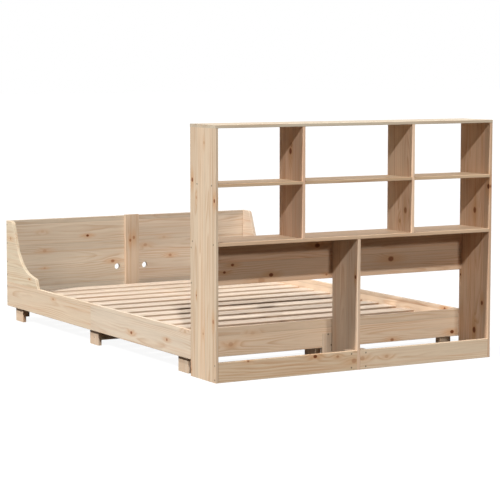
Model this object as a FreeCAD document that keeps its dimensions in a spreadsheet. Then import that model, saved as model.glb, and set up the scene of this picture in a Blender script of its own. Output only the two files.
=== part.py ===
import FreeCAD, Part
import Sketcher
import os
import re

# Pine double bed with a bookcase at its foot, flat-pack boards joined by screws and dowels.
# X runs across the bed, Y from the bookcase's front to the back of the headboard, Z is up.
# The origin lies on the floor, in the middle of the bed's outline.

doc = FreeCAD.newDocument("bed_frame")
sheet = doc.addObject("Spreadsheet::Sheet", "Sizes")

SIZES = {
    # whole frame
    "frame_width": 1455,
    "frame_length": 2325,
    "board": 18,
    "shelf_board": 16,
    "thin_board": 14,
    "edge_round": 2,
    # bookcase
    "case_depth": 230,
    "inner_depth": 200,
    "lower_cell_height": 587,
    "upper_cell_height": 237,
    "divider_offset": 288,
    "plinth_height": 88,
    "plinth_cleat_width": 44,
    "rear_board_height": 195,
    # rails and legs
    "rail_underside": 72,
    "rail_height": 130,
    "mattress_recess": 47,
    "foot_post_width": 97,
    "leg_width": 95,
    "leg_clearance": 5.5,
    "leg_block_width": 45,
    "leg_block_depth": 35,
    "cross_beam_underside": 20,
    "centre_beam_width": 45,
    "centre_beam_height": 70,
    "centre_leg_thickness": 28,
    "cleat_side": 34,
    # slats
    "slat_count": 13,
    "slat_width": 98,
    "slat_thickness": 18,
    # headboard
    "headboard_top": 528,
    "centre_strip_width": 82,
    "centre_strip_rise": 5,
    "cable_hole_diameter": 32,
    "cable_hole_offset": 84,
    "cable_hole_height": 249,
    "wing_length": 403,
    "wing_nose_back": 382,
    "wing_nose_height": 48,
    "wing_nose_radius": 12,
    "wing_elbow_back": 180,
    "wing_elbow_height": 85,
    "wing_elbow_radius": 235,
    "wing_top_width": 83,
    "wing_top_radius": 30,
    # screws and dowels
    "screw_shank_diameter": 4,
    "screw_head_diameter": 8,
    "screw_head_height": 2.5,
    "screw_tip_cover": 4,
    "dowel_diameter": 8,
    "dowel_reach": 30,
    "dowel_inset": 12,
    # places of the screws, from the nearest edge of their board
    "short_shelf_screw_inset": 34,
    "long_shelf_screw_inset": 20,
    "rear_board_screw_inset": 20,
    "plinth_screw_inset": 13,
    "plinth_screw_offset": 38,
    "post_screw_offset": 17,
    "post_screw_height": 132,
    "slat_screw_inset": 12,
    "beam_screw_inset": 15,
    "block_screw_inset": 8,
    "panel_screw_pitch": 98,
    "panel_screw_inset": 22,
    "rail_end_screw_inset": 24,
    "wing_foot_screw_rise": 38,
    "hole_overrun": 5,
}

# Distance under which two points count as one when edges are picked.
TOUCH = 0.001

for row, (alias, value) in enumerate(SIZES.items(), start=1):
    sheet.set(f"A{row}", alias)
    sheet.set(f"B{row}", str(value))
    sheet.setAlias(f"B{row}", alias)
doc.recompute()

ALIAS = re.compile(r"\b(" + "|".join(SIZES) + r")\b")


def bind(thing, prop, formula):
    """Tie one property of an object to the sheet: each alias in the formula becomes a cell."""
    thing.setExpression(prop, ALIAS.sub(r"Sizes.\1", formula))


def measure(formula):
    """The value that a formula of the sheet has now."""
    return float(sheet.evalExpression(ALIAS.sub(r"Sizes.\1", formula)))


def place(thing, point):
    """Put an object at a point written as three formulas."""
    for axis, formula in zip("xyz", point):
        bind(thing, "Placement.Base." + axis, formula)


# Planes that many boards share, as formulas of the sheet's values.
half_width = "(frame_width / 2)"
inside = "(frame_width / 2 - board)"
case_inside = "(frame_width / 2 - thin_board)"
front = "(-frame_length / 2)"
case_back = f"({front} + case_depth)"
rear_board_front = f"({case_back} - board)"
bed_back = "(frame_length / 2)"
panel_front = f"({bed_back} - board)"
strip_front = f"({panel_front} - board)"
long_shelf_under = "lower_cell_height"
long_shelf_top = "(lower_cell_height + shelf_board)"
short_shelf_under = f"({long_shelf_top} + upper_cell_height)"
short_shelf_top = f"({short_shelf_under} + thin_board)"
short_shelf_middle = f"({short_shelf_under} + thin_board / 2)"
top_under = f"({short_shelf_top} + upper_cell_height)"
top_face = f"({top_under} + thin_board)"
rail_top = "(rail_underside + rail_height)"
slat_top = f"({rail_top} - mattress_recess)"
slat_under = f"({slat_top} - slat_thickness)"
leg_setback = "(board + cleat_side + leg_clearance + leg_width / 2)"
foot_leg = f"({case_back} + {leg_setback})"
head_leg = f"({panel_front} - {leg_setback})"
mid_leg = f"(({case_back} + {panel_front}) / 2)"
slat_pitch = f"(({head_leg} - {foot_leg}) / (slat_count - 1))"
cross_front = f"({mid_leg} - board / 2)"
cross_back = f"({mid_leg} + board / 2)"
beam_under = f"({slat_under} - centre_beam_height)"
short_screw_length = "(2 * board - screw_tip_cover)"
long_screw_length = "(cleat_side + board - screw_tip_cover)"

blanks = {}
grains = {}
holes = {}


def board(name, low, high, grain):
    """A planed board between two corners. Its long edges, along the grain, get rounded later."""
    body = doc.addObject("PartDesign::Body", name + "_body")
    block = body.newObject("PartDesign::AdditiveBox", name + "_block")
    for prop, start, end in zip(("Length", "Width", "Height"), low, high):
        bind(block, prop, f"({end}) - ({start})")
    place(body, low)
    blanks[name] = body
    grains[name] = grain
    holes[name] = []


def mirrored(side, low_x, high_x):
    """The X span of a piece that is written for the right side, on either side."""
    if side == "right":
        return low_x, high_x
    return f"-({high_x})", f"-({low_x})"


# Bookcase: two sides under a full-width top, a long shelf, and short shelves between dividers.
for side in ("left", "right"):
    x0, x1 = mirrored(side, case_inside, half_width)
    board("bookcase_side_" + side, (x0, front, "0"), (x1, case_back, top_under), "z")
board("bookcase_top", (f"-{half_width}", front, top_under),
      (half_width, case_back, top_face), "x")
board("long_shelf", (f"-{case_inside}", front, long_shelf_under),
      (case_inside, case_back, long_shelf_top), "x")
for side in ("left", "right"):
    x0, x1 = mirrored(side, "divider_offset - thin_board / 2", "divider_offset + thin_board / 2")
    board("upper_divider_" + side, (x0, front, long_shelf_top),
          (x1, f"{front} + inner_depth", top_under), "z")
    x0, x1 = mirrored(side, "divider_offset + thin_board / 2", case_inside)
    board("short_shelf_" + side, (x0, front, short_shelf_under),
          (x1, f"{front} + inner_depth", short_shelf_top), "x")
board("short_shelf_middle", ("thin_board / 2 - divider_offset", front, short_shelf_under),
      ("divider_offset - thin_board / 2", f"{front} + inner_depth", short_shelf_top), "x")
board("lower_divider", ("-shelf_board / 2", front, "0"),
      ("shelf_board / 2", rear_board_front, long_shelf_under), "z")
board("rear_board", (f"-{case_inside}", rear_board_front, f"{long_shelf_under} - rear_board_height"),
      (case_inside, case_back, long_shelf_under), "x")
for side in ("left", "right"):
    x0, x1 = mirrored(side, "shelf_board / 2", case_inside)
    board("plinth_" + side, (x0, front, "0"), (x1, f"{front} + board", "plinth_height"), "x")
    x0, x1 = mirrored(side, "shelf_board / 2", "shelf_board / 2 + plinth_cleat_width")
    board("plinth_cleat_" + side, (x0, f"{front} + board", "0"),
          (x1, f"{front} + board + cleat_side", "plinth_height"), "z")

# Bed box: a foot rail with a centre post let in flush below its middle, and side rails in two
# halves that meet at the middle legs.
board("foot_post", ("-foot_post_width / 2", case_back, "0"),
      ("foot_post_width / 2", f"{case_back} + board", slat_under), "z")
board("foot_rail", (f"-{inside}", case_back, "rail_underside"),
      (inside, f"{case_back} + board", rail_top), "x")
for side in ("left", "right"):
    x0, x1 = mirrored(side, inside, half_width)
    board(f"side_rail_{side}_foot", (x0, case_back, "rail_underside"), (x1, mid_leg, rail_top), "y")
    board(f"side_rail_{side}_head", (x0, mid_leg, "rail_underside"), (x1, bed_back, rail_top), "y")
    x0, x1 = mirrored(side, f"{inside} - cleat_side", inside)
    board("corner_cleat_" + side, (x0, f"{case_back} + board", "rail_underside"),
          (x1, f"{case_back} + board + cleat_side", slat_under), "z")

# Legs: a flat board against each rail, and a block that stiffens it on the inside.
LEGS = {"foot": foot_leg, "mid": mid_leg, "head": head_leg}
BLOCK_START = {
    "foot": f"{foot_leg} - leg_width / 2",
    "mid": cross_back,
    "head": f"{head_leg} + leg_width / 2 - leg_block_depth",
}
for side in ("left", "right"):
    for station, leg_y in LEGS.items():
        x0, x1 = mirrored(side, f"{inside} - board", inside)
        board(f"leg_{side}_{station}", (x0, f"{leg_y} - leg_width / 2", "0"),
              (x1, f"{leg_y} + leg_width / 2", slat_under), "z")
        x0, x1 = mirrored(side, f"{inside} - board - leg_block_width", f"{inside} - board")
        start = BLOCK_START[station]
        board(f"leg_block_{side}_{station}", (x0, start, "cross_beam_underside"),
              (x1, f"{start} + leg_block_depth", slat_under), "z")

# Slat supports: a beam across between the middle legs, a centre beam in two halves on its own
# legs, and battens along the rails between the side legs.
board("cross_beam", (f"board - {inside}", cross_front, "cross_beam_underside"),
      (f"{inside} - board", cross_back, slat_under), "x")
BEAMS = {
    "foot": (f"{case_back} + board", cross_front),
    "head": (cross_back, strip_front),
}
for station, (beam_start, beam_end) in BEAMS.items():
    board("centre_beam_" + station, ("-centre_beam_width / 2", beam_start, beam_under),
          ("centre_beam_width / 2", beam_end, slat_under), "y")
CENTRE_LEGS = {
    "foot": f"{foot_leg}",
    "mid": f"{cross_front} - leg_width / 2",
    "head": f"{head_leg}",
}
for station, leg_y in CENTRE_LEGS.items():
    board("centre_leg_" + station,
          ("-centre_beam_width / 2 - centre_leg_thickness", f"{leg_y} - leg_width / 2", "0"),
          ("-centre_beam_width / 2", f"{leg_y} + leg_width / 2", slat_under), "z")
BATTENS = {
    "foot": (f"{foot_leg} + leg_width / 2", f"{mid_leg} - leg_width / 2"),
    "head": (f"{mid_leg} + leg_width / 2", f"{head_leg} - leg_width / 2"),
}
for side in ("left", "right"):
    for station, (start, end) in BATTENS.items():
        x0, x1 = mirrored(side, f"{inside} - cleat_side", inside)
        board(f"slat_batten_{side}_{station}", (x0, start, f"{slat_under} - cleat_side"),
              (x1, end, slat_under), "y")

# Slats: evenly spaced from the foot legs to the head legs.
SLATS = range(1, SIZES["slat_count"] + 1)
for number in SLATS:
    slat_y = f"({foot_leg} + {number - 1} * {slat_pitch})"
    board(f"slat_{number:02d}", (f"-{inside}", f"{slat_y} - slat_width / 2", slat_under),
          (inside, f"{slat_y} + slat_width / 2", slat_top), "x")

# Headboard: two panels that meet in the middle, behind a strip that runs down to the floor.
for side in ("left", "right"):
    x0, x1 = mirrored(side, "0", inside)
    board("headboard_panel_" + side, (x0, panel_front, "rail_underside"),
          (x1, bed_back, "headboard_top"), "x")
board("headboard_strip", ("-centre_strip_width / 2", strip_front, "0"),
      ("centre_strip_width / 2", panel_front, "headboard_top + centre_strip_rise"), "z")

# Wings: shaped boards that stand on the side rails and run up to the top of the headboard.
WING_HEIGHT = f"(headboard_top - {rail_top})"
WING_CORNERS = (
    ("0", "0"),
    ("0", WING_HEIGHT),
    ("wing_top_width", WING_HEIGHT),
    ("wing_elbow_back", "wing_elbow_height"),
    ("wing_nose_back", "wing_nose_height"),
    ("wing_length", "0"),
)
WING_ROUNDS = {
    2: "wing_top_radius",
    3: "wing_elbow_radius",
    4: "wing_nose_radius",
}


def wing_outline(sketch):
    """Draw the wing's side view: six straight lines, each corner tied to the sheet."""
    corners = [FreeCAD.Vector(-measure(back), measure(up), 0) for back, up in WING_CORNERS]
    count = len(corners)
    for index in range(count):
        sketch.addGeometry(Part.LineSegment(corners[index], corners[(index + 1) % count]), False)
    for index in range(count):
        sketch.addConstraint(Sketcher.Constraint("Coincident", index, 2, (index + 1) % count, 1))
    sketch.addConstraint(Sketcher.Constraint("Coincident", 0, 1, -1, 1))
    sketch.addConstraint(Sketcher.Constraint("Vertical", 0))
    sketch.addConstraint(Sketcher.Constraint("Horizontal", 1))
    sketch.addConstraint(Sketcher.Constraint("Horizontal", 5))
    for index in WING_ROUNDS:
        back, up = WING_CORNERS[index]
        corner = corners[index]
        across = sketch.addConstraint(Sketcher.Constraint("DistanceX", index, 1, -1, 1, -corner.x))
        bind(sketch, f"Constraints[{across}]", back)
        rise = sketch.addConstraint(Sketcher.Constraint("DistanceY", -1, 1, index, 1, corner.y))
        bind(sketch, f"Constraints[{rise}]", up)
    nose_foot = sketch.addConstraint(Sketcher.Constraint("DistanceX", 5, 1, -1, 1, -corners[5].x))
    bind(sketch, f"Constraints[{nose_foot}]", "wing_length")


def round_corner(body, name, corner, radius):
    """Round the upright-to-sloping corner of a wing that lies at one point of its outline."""
    solid = body.Tip
    spot = (-measure(corner[0]), measure(corner[1]))
    found = []
    for number, edge in enumerate(solid.Shape.Edges, start=1):
        ends = [(vertex.Point.y, vertex.Point.z) for vertex in edge.Vertexes]
        if all(abs(y - spot[0]) + abs(z - spot[1]) < TOUCH for y, z in ends):
            found.append(f"Edge{number}")
    fillet = body.newObject("PartDesign::Fillet", name)
    fillet.Base = (solid, found)
    bind(fillet, "Radius", radius)
    doc.recompute()


for side in ("left", "right"):
    name = "wing_" + side
    body = doc.addObject("PartDesign::Body", name + "_body")
    outline = body.newObject("Sketcher::SketchObject", name + "_outline")
    plane = [item for item in body.Origin.OriginFeatures if item.Role == "YZ_Plane"]
    outline.AttachmentSupport = [(plane[0], "")]
    outline.MapMode = "FlatFace"
    wing_outline(outline)
    pad = body.newObject("PartDesign::Pad", name + "_pad")
    pad.Profile = outline
    bind(pad, "Length", "board")
    doc.recompute()
    for index, radius in WING_ROUNDS.items():
        round_corner(body, f"{name}_round_{index}", WING_CORNERS[index], radius)
    x0, x1 = mirrored(side, inside, half_width)
    place(body, (x0, bed_back, rail_top))
    blanks[name] = body
    grains[name] = "outline"
    holes[name] = []
doc.recompute()


def long_edges(solid, grain):
    """Names of the edges to ease: those along the grain, or a wing's outline off its two seats."""
    names = []
    for number, edge in enumerate(solid.Shape.Edges, start=1):
        box = edge.BoundBox
        spans = {"x": box.XLength, "y": box.YLength, "z": box.ZLength}
        if grain == "outline":
            on_seat = box.ZMax < TOUCH or box.YMin > -TOUCH
            wanted = spans["x"] < TOUCH and not on_seat
        else:
            wanted = all(span < TOUCH for axis, span in spans.items() if axis != grain)
        if wanted:
            names.append(f"Edge{number}")
    return names


# Every board leaves the planer with its long edges eased.
for name, body in blanks.items():
    solid = body.Tip
    ease = body.newObject("PartDesign::Fillet", name + "_ease")
    ease.Base = (solid, long_edges(solid, grains[name]))
    bind(ease, "Radius", "edge_round")

# Fasteners: countersunk screws of two lengths, and dowels, each drawn once along +Z.
FORWARD = {
    "+x": FreeCAD.Vector(1, 0, 0),
    "-x": FreeCAD.Vector(-1, 0, 0),
    "+y": FreeCAD.Vector(0, 1, 0),
    "-y": FreeCAD.Vector(0, -1, 0),
    "+z": FreeCAD.Vector(0, 0, 1),
    "-z": FreeCAD.Vector(0, 0, -1),
}


def screw_pattern(name, length):
    """One countersunk screw, its head's face at the origin and its shank towards +Z."""
    shank = doc.addObject("Part::Cylinder", name + "_shank")
    bind(shank, "Radius", "screw_shank_diameter / 2")
    bind(shank, "Height", length)
    head = doc.addObject("Part::Cone", name + "_head")
    bind(head, "Radius1", "screw_head_diameter / 2")
    bind(head, "Radius2", "screw_shank_diameter / 2")
    bind(head, "Height", "screw_head_height")
    screw = doc.addObject("Part::MultiFuse", name + "_pattern")
    screw.Shapes = [shank, head]
    return screw


dowel = doc.addObject("Part::Cylinder", "dowel_pattern")
bind(dowel, "Radius", "dowel_diameter / 2")
bind(dowel, "Height", "2 * dowel_reach")
bind(dowel, "Placement.Base.z", "-dowel_reach")
centred_dowel = doc.addObject("Part::Compound", "dowel_centred")
centred_dowel.Links = [dowel]
PATTERNS = {
    "long_screws": screw_pattern("long_screw", long_screw_length),
    "short_screws": screw_pattern("short_screw", short_screw_length),
    "dowels": centred_dowel,
}
fasteners = {kind: [] for kind in PATTERNS}


def join(kind, point, towards, *pieces):
    """Set one fastener at a point, and note the pieces that it goes into, so that they get its hole."""
    link = doc.addObject("App::Link", f"{kind}_{len(fasteners[kind]) + 1}")
    link.LinkedObject = PATTERNS[kind]
    turn = FreeCAD.Rotation(FORWARD["+z"], FORWARD[towards])
    link.Placement = FreeCAD.Placement(FreeCAD.Vector(0, 0, 0), turn)
    place(link, point)
    fasteners[kind].append(link)
    for piece in pieces:
        holes[piece].append(link)


INWARD = {"left": "+x", "right": "-x"}
OUTWARD = {"left": "-x", "right": "+x"}
SIGN = {"left": "-", "right": ""}

# Screws from the bookcase's outer faces into its shelves, plinth and rear board.
for side in ("left", "right"):
    outer = SIGN[side] + half_width
    case_side = "bookcase_side_" + side
    for y in (f"{front} + short_shelf_screw_inset", f"{front} + inner_depth - short_shelf_screw_inset"):
        join("long_screws", (outer, y, short_shelf_middle), INWARD[side],
             case_side, "short_shelf_" + side)
    for y in (f"{front} + long_shelf_screw_inset", f"{case_back} - long_shelf_screw_inset"):
        join("long_screws", (outer, y, f"{long_shelf_under} + shelf_board / 2"), INWARD[side],
             case_side, "long_shelf")
    for z in ("plinth_screw_inset", "plinth_height - plinth_screw_inset"):
        join("long_screws", (outer, f"{front} + board / 2", z), INWARD[side], case_side, "plinth_" + side)
    for z in (f"{long_shelf_under} - rear_board_screw_inset",
              f"{long_shelf_under} - rear_board_height + rear_board_screw_inset"):
        join("long_screws", (outer, f"{case_back} - board / 2", z), INWARD[side], case_side, "rear_board")

# Screws down through the top, and through the long shelf both ways.
for side in ("left", "right"):
    for y in (f"{front} + short_shelf_screw_inset", f"{case_back} - short_shelf_screw_inset"):
        x = SIGN[side] + f"({half_width} - thin_board / 2)"
        join("long_screws", (x, y, top_face), "-z", "bookcase_top", "bookcase_side_" + side)
    for y in (f"{front} + short_shelf_screw_inset", f"{front} + inner_depth - short_shelf_screw_inset"):
        x = SIGN[side] + "divider_offset"
        join("long_screws", (x, y, top_face), "-z", "bookcase_top", "upper_divider_" + side)
        join("long_screws", (x, y, long_shelf_under), "+z", "long_shelf", "upper_divider_" + side)
        join("dowels", (x, y, short_shelf_middle), "+x",
             "upper_divider_" + side, "short_shelf_" + side, "short_shelf_middle")
    x = SIGN[side] + f"({inside} / 2)"
    join("long_screws", (x, f"{case_back} - board / 2", long_shelf_top), "-z", "long_shelf", "rear_board")
for y in (f"{front} + short_shelf_screw_inset", f"{rear_board_front} - short_shelf_screw_inset"):
    join("long_screws", ("0", y, long_shelf_top), "-z", "long_shelf", "lower_divider")
for z in (f"{long_shelf_under} - 2 * rear_board_screw_inset",
          f"{long_shelf_under} - rear_board_height + 2 * rear_board_screw_inset"):
    join("long_screws", ("0", case_back, z), "-y", "rear_board", "lower_divider")

# Plinth boards, screwed to cleats that one dowel ties to the lower divider.
for side in ("left", "right"):
    for z in ("plinth_screw_inset", "plinth_height - plinth_screw_inset"):
        join("long_screws", (SIGN[side] + "plinth_screw_offset", front, z), "+y",
             "plinth_" + side, "plinth_cleat_" + side)
join("dowels", ("0", f"{front} + board + cleat_side / 2", "plinth_height / 2"), "+x",
     "lower_divider", "plinth_cleat_left", "plinth_cleat_right")

# Foot post: a dowel up into the foot rail, and two screws into the end of the centre beam.
join("dowels", ("0", f"{case_back} + board / 2", slat_under), "+z", "foot_post", "foot_rail")
for side in ("left", "right"):
    join("long_screws", (SIGN[side] + "post_screw_offset", case_back, "post_screw_height"), "+y",
         "foot_post", "centre_beam_foot")

# Side rails: dowels into the bookcase's rear edges, and cleats in the corners behind the foot rail.
for side in ("left", "right"):
    foot_half = f"side_rail_{side}_foot"
    cleat = "corner_cleat_" + side
    x = SIGN[side] + f"({half_width} - thin_board / 2)"
    for z in ("rail_underside + dowel_reach", f"{rail_top} - dowel_reach"):
        join("dowels", (x, case_back, z), "+y", foot_half, "bookcase_side_" + side)
    middle = SIGN[side] + f"({inside} - cleat_side / 2)"
    face = SIGN[side] + f"({inside} - cleat_side)"
    low, high = "rail_underside + beam_screw_inset", f"{slat_under} - beam_screw_inset"
    join("long_screws", (middle, f"{case_back} + board + cleat_side", low), "-y", cleat, "foot_rail")
    join("long_screws", (face, f"{case_back} + board + cleat_side / 2", high), OUTWARD[side],
         cleat, foot_half)

# Side legs: screwed outwards into the rails, with their blocks screwed on from behind.
for side in ("left", "right"):
    face = SIGN[side] + f"({inside} - board)"
    for station, leg_y in LEGS.items():
        leg = f"leg_{side}_{station}"
        block = f"leg_block_{side}_{station}"
        halves = {"-": "foot", "+": "head"} if station == "mid" else {"-": station, "+": station}
        for sign, half in halves.items():
            y = f"{leg_y} {sign} leg_width / 4"
            for z in ("rail_underside + beam_screw_inset", f"{slat_under} - beam_screw_inset"):
                join("short_screws", (face, y, z), OUTWARD[side], leg, f"side_rail_{side}_{half}")
        middle_height = f"(rail_underside + {slat_under}) / 2"
        if station == "mid":
            for z in ("rail_underside / 2", middle_height):
                join("long_screws", (SIGN[side] + inside, leg_y, z), INWARD[side], leg, "cross_beam")
            x = SIGN[side] + f"({inside} - board - leg_block_width / 2)"
            for z in ("cross_beam_underside + block_screw_inset", f"{slat_under} - beam_screw_inset"):
                join("long_screws", (x, cross_front, z), "+y", "cross_beam", block)
        else:
            y = f"({BLOCK_START[station]} + leg_block_depth / 2)"
            for z in ("rail_underside + block_screw_inset", middle_height):
                join("long_screws", (SIGN[side] + inside, y, z), INWARD[side], leg, block)

# Centre beam: a third screw from the foot post, and dowels to the cross beam and headboard strip.
join("long_screws", ("0", case_back, f"{beam_under} + beam_screw_inset"), "+y",
     "foot_post", "centre_beam_foot")
for z in (f"{beam_under} + beam_screw_inset", f"{slat_under} - beam_screw_inset"):
    join("dowels", ("0", mid_leg, z), "+y", "cross_beam", "centre_beam_foot", "centre_beam_head")
for side in ("left", "right"):
    join("dowels", (SIGN[side] + "dowel_inset", strip_front, f"{slat_under} - centre_beam_height / 2"),
         "+y", "centre_beam_head", "headboard_strip", "headboard_panel_" + side)
for station, leg_y in CENTRE_LEGS.items():
    beam = "centre_beam_head" if station == "head" else "centre_beam_foot"
    for sign in "-+":
        point = ("-centre_beam_width / 2 - centre_leg_thickness", f"{leg_y} {sign} leg_width / 4",
                 f"{slat_under} - centre_beam_height / 2")
        join("long_screws", point, "+x", "centre_leg_" + station, beam)

# Battens, screwed to the rails at both ends and in the middle.
for side in ("left", "right"):
    for station, (start, end) in BATTENS.items():
        for share in ("1 / 10", "1 / 2", "9 / 10"):
            point = (SIGN[side] + f"({inside} - cleat_side)",
                     f"{start} + (({end}) - ({start})) * {share}", f"{slat_under} - 2 * cleat_side / 3")
            join("long_screws", point, OUTWARD[side], f"slat_batten_{side}_{station}",
                 f"side_rail_{side}_{station}")

# Slats: one screw at each end, into the battens, or into the tops of the legs that they lie on.
legs_under = {1: "foot", SIZES["slat_count"]: "head"}
if SIZES["slat_count"] % 2 == 1:
    legs_under[(SIZES["slat_count"] + 1) // 2] = "mid"
for number in SLATS:
    slat_y = f"({foot_leg} + {number - 1} * {slat_pitch})"
    half = "foot" if 2 * number < SIZES["slat_count"] + 1 else "head"
    for side in ("left", "right"):
        if number in legs_under:
            support = f"leg_{side}_{legs_under[number]}"
        else:
            support = f"slat_batten_{side}_{half}"
        x = SIGN[side] + f"({inside} - slat_screw_inset)"
        join("short_screws", (x, slat_y, slat_top), "-z", f"slat_{number:02d}", support)

# Headboard: screws from the wings and rails into the panels' ends, and from the panels' backs
# into the strip, which covers the seam between them.
PANEL_SCREWS = [f"headboard_top - panel_screw_inset - {step} * panel_screw_pitch" for step in range(3)]
for side in ("left", "right"):
    panel = "headboard_panel_" + side
    outer = SIGN[side] + half_width
    y = f"{bed_back} - board / 2"
    for z in PANEL_SCREWS + [f"{rail_top} + wing_foot_screw_rise"]:
        join("long_screws", (outer, y, z), INWARD[side], "wing_" + side, panel)
    for z in ("rail_underside + rail_end_screw_inset", f"{rail_top} - rail_end_screw_inset"):
        join("long_screws", (outer, y, z), INWARD[side], f"side_rail_{side}_head", panel)
    x = SIGN[side] + "(centre_strip_width / 4)"
    for z in PANEL_SCREWS + ["rail_underside + panel_screw_inset"]:
        join("short_screws", (x, bed_back, z), "-y", panel, "headboard_strip")
    for back in ("wing_top_width / 2", "wing_elbow_back"):
        x = SIGN[side] + f"({half_width} - board / 2)"
        join("dowels", (x, f"{bed_back} - {back}", rail_top), "+z", "wing_" + side,
             f"side_rail_{side}_head")

# The foot rail's lower half is cut out in the middle, where the post is let in.
notch = doc.addObject("Part::Box", "foot_rail_notch")
bind(notch, "Length", "foot_post_width")
bind(notch, "Width", "board")
bind(notch, "Height", f"{slat_under} - rail_underside")
place(notch, ("-foot_post_width / 2", case_back, "rail_underside"))
holes["foot_rail"].append(notch)

# A round hole for a lamp lead through each headboard panel, beside the strip.
for side in ("left", "right"):
    drill = doc.addObject("Part::Cylinder", "cable_drill_" + side)
    bind(drill, "Radius", "cable_hole_diameter / 2")
    bind(drill, "Height", "board + 2 * hole_overrun")
    turn = FreeCAD.Rotation(FORWARD["+z"], FORWARD["+y"])
    drill.Placement = FreeCAD.Placement(FreeCAD.Vector(0, 0, 0), turn)
    place(drill, (SIGN[side] + "cable_hole_offset", f"{panel_front} - hole_overrun", "cable_hole_height"))
    holes["headboard_panel_" + side].append(drill)

# Each board loses the shapes of the fasteners that it holds, so screws and dowels fit their holes.
nodes = {}
for name, body in blanks.items():
    tools = doc.addObject("Part::Compound", name + "_holes")
    tools.Links = holes[name]
    drilled = doc.addObject("Part::Cut", name)
    drilled.Base = body
    drilled.Tool = tools
    nodes[name] = drilled

# Pieces that share one node: the small blocks and cleats, and each kind of fastener.
counts = {name: 1 for name in nodes}
groups = dict(fasteners)
for family, stem in (("plinth_cleats", "plinth_cleat_"), ("corner_cleats", "corner_cleat_"),
                     ("leg_blocks", "leg_block_")):
    members = [name for name in nodes if name.startswith(stem)]
    groups[family] = [nodes.pop(name) for name in members]
for family, pieces in groups.items():
    gathered = doc.addObject("Part::Compound", family)
    gathered.Links = pieces
    nodes[family] = gathered
    counts[family] = len(pieces)
for name, thing in nodes.items():
    thing.Label = name
doc.recompute()

broken = [thing.Name for thing in doc.Objects if "Invalid" in thing.State or "Error" in thing.State]
if broken:
    raise RuntimeError("failed objects: " + ", ".join(broken))
for name, thing in nodes.items():
    shape = thing.Shape
    if shape.isNull() or not shape.isValid():
        raise RuntimeError("bad shape: " + name)
    if len(shape.Solids) != counts[name]:
        raise RuntimeError(f"{name} has {len(shape.Solids)} solids, not {counts[name]}")

os.makedirs("parts", exist_ok=True)
for name, thing in nodes.items():
    thing.Shape.exportStep(f"parts/{name}.step")
print(f"{len(nodes)} nodes written")
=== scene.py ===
import math
import bmesh
import bpy
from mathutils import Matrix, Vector


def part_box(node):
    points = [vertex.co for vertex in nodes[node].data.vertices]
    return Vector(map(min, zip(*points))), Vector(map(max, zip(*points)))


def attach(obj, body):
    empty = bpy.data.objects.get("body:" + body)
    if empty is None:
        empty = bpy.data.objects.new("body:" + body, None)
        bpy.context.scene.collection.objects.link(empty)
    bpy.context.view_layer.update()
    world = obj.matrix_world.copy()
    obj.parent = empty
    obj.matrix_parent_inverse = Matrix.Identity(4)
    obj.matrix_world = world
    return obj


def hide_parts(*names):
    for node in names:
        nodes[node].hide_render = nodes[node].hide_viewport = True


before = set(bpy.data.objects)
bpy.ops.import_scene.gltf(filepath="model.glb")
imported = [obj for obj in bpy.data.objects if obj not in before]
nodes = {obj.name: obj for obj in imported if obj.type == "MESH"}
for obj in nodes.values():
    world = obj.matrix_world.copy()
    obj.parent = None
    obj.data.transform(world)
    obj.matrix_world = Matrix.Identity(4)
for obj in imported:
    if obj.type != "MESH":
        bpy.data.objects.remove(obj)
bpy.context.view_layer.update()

# Camera: a long lens from the left of the foot end, a little above the bookcase's top, as in
# the photograph.
focal_length_mm, film_width_mm = 135.1106, 36
degrees_down, degrees_to_the_right = 5.8117, 29.6741
photo_camera = bpy.data.objects.new("photo_camera", bpy.data.cameras.new("photo_camera"))
photo_camera.data.lens = focal_length_mm
photo_camera.data.sensor_width = film_width_mm
photo_camera.location = (-4.52836, -8.12866, 1.38281)
photo_camera.rotation_euler = (math.radians(90 - degrees_down), 0, -math.radians(degrees_to_the_right))
bpy.context.scene.collection.objects.link(photo_camera)
bpy.context.scene.camera = photo_camera

# Bookcase sides: two upright panels of solid pine, glued up from staves about 70 mm wide and
# planed, with clear lacquer. Screws through them hold the shelves, the plinth and the rear board.


def linear(hex_code):
    """An sRGB colour written as a hex code, as the linear colour that a shader takes."""
    channels = [int(hex_code[start:start + 2], 16) / 255 for start in (1, 3, 5)]
    return (*[c / 12.92 if c <= 0.04045 else ((c + 0.055) / 1.055) ** 2.4 for c in channels], 1)


def add_node(tree, kind, settings=None, links=None):
    """Add one node: its settings, and for each input either a value or the socket that feeds it."""
    node = tree.nodes.new(kind)
    for name, value in (settings or {}).items():
        setattr(node, name, value)
    for key, value in (links or {}).items():
        if isinstance(value, bpy.types.NodeSocket):
            tree.links.new(value, node.inputs[key])
        else:
            node.inputs[key].default_value = value
    return node


def new_group(name, kind, inputs, outputs):
    """An empty node group with its sockets: the group, its input node and its output node."""
    group = bpy.data.node_groups.new(name, kind)
    for label, socket, value in inputs:
        made = group.interface.new_socket(label, in_out="INPUT", socket_type=socket)
        if value is not None:
            made.default_value = value
    for label, socket in outputs:
        group.interface.new_socket(label, in_out="OUTPUT", socket_type=socket)
    return group, group.nodes.new("NodeGroupInput"), group.nodes.new("NodeGroupOutput")


# The sockets of a mix node that mixes colours: Blender gives several of them the same name.
share_of_b, colour_a, colour_b, mixed = 0, 6, 7, 2

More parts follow.
